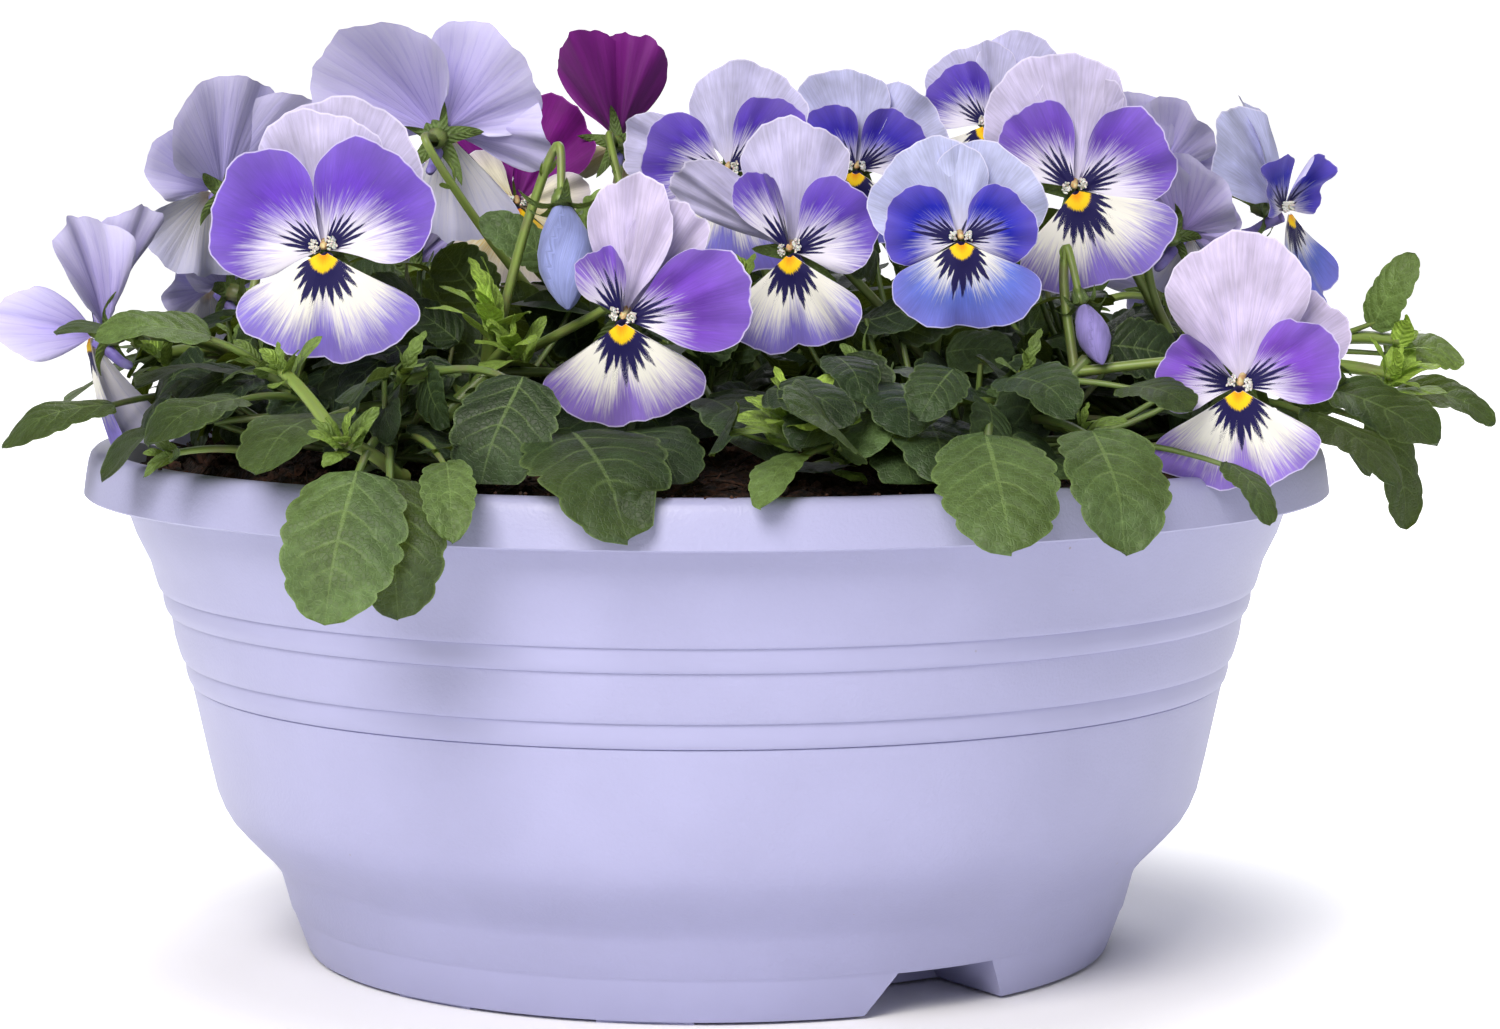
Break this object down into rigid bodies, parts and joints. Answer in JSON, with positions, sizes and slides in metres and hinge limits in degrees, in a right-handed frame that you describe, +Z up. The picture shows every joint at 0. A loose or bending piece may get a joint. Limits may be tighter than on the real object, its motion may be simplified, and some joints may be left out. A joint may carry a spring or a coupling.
{
  "type": "potted horned violet",
  "caption": "Horned violets in bloom in a round plastic bowl planter with a hooded rim, two raised bands and notched drains.",
  "frame": {"origin": "centre of the bowl's underside, on the surface that it stands on", "axes": "+Z up, -Y towards the front"},
  "size_m": [0.267, 0.2423, 0.1725],
  "materials": {
    "bowl": "moulded polypropylene with a fine grain",
    "soil": "moist, fibrous potting peat",
    "leaf": "living leaf, faintly glossy",
    "petal": "velvety petal with dark lines and a yellow eye",
    "petal_magenta": "velvety magenta petals over cream ones"
  },
  "bodies": {
    "root": {"bowl": "bowl", "soil": "soil", "plant_front_left": "leaf", "plant_front_right": "leaf", "plant_right": "leaf", "plant_back_right": "leaf", "plant_back_left": "leaf", "plant_left": "leaf", "plant_middle": "leaf", "bloom_far_left": "petal", "bloom_left_away": "petal", "bloom_front_left": "petal", "bloom_tall_away": "petal", "bloom_magenta_front": "petal_magenta", "bloom_magenta_away": "petal_magenta", "bloom_front_low": "petal", "bloom_middle_back": "petal", "bloom_middle_front": "petal", "bloom_behind_middle": "petal", "bloom_round_blue": "petal", "bloom_behind_right": "petal", "bloom_right_front": "petal", "bloom_right_pale": "petal", "bloom_right_away": "petal", "bloom_right_side": "petal", "bloom_front_right": "petal", "bloom_back_1": "petal", "bloom_back_2": "petal", "bloom_back_3": "petal", "bloom_back_4": "petal", "bloom_back_5": "petal", "bloom_back_6": "petal", "furled_front": "petal", "furled_right": "petal", "furled_back": "petal"}
  },
  "joints": []
}
